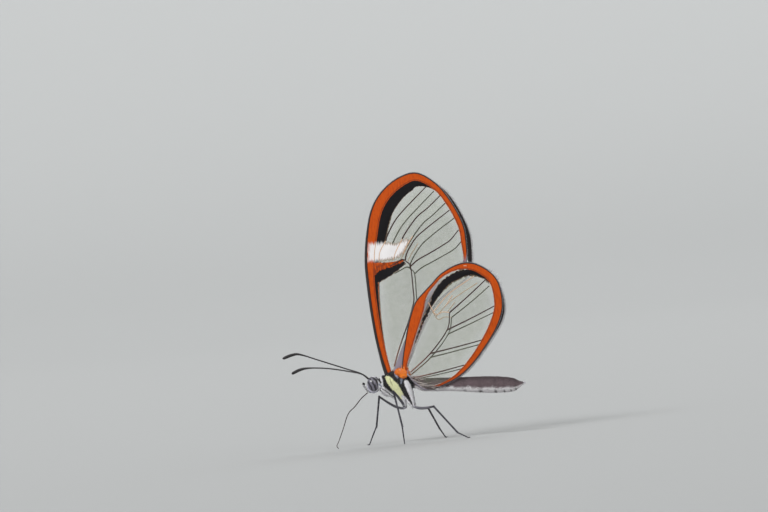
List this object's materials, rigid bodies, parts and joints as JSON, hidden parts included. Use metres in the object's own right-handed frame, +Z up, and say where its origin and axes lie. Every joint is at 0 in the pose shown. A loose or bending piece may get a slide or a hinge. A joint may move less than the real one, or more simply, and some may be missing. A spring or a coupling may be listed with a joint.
{
  "type": "glasswing butterfly",
  "caption": "Life-size still model of a clear-winged butterfly standing on its legs, wings held up over its back and tongue to the ground.",
  "frame": {"origin": "on the ground below the middle of the whole model's box", "axes": "+Z up, +X from the head to the tail, -Y to the butterfly's left side"},
  "size_m": [0.0339, 0.0139, 0.0385],
  "materials": {
    "body": "matte",
    "eye": "satin",
    "horn": "satin",
    "foreleg": "matte",
    "membrane": "satin"
  },
  "bodies": {
    "root": {"thorax": "body", "head": "body", "abdomen": "body", "proboscis": "horn", "eye_left": "eye", "eye_right": "eye", "palp_left": "horn", "palp_right": "horn", "antenna_left": "horn", "antenna_right": "horn", "foreleg_left": "foreleg", "foreleg_right": "foreleg", "midleg_left": "horn", "midleg_right": "horn", "hindleg_left": "horn", "hindleg_right": "horn", "forewing_left": "membrane", "forewing_right": "membrane", "hindwing_left": "membrane", "hindwing_right": "membrane"}
  },
  "joints": []
}
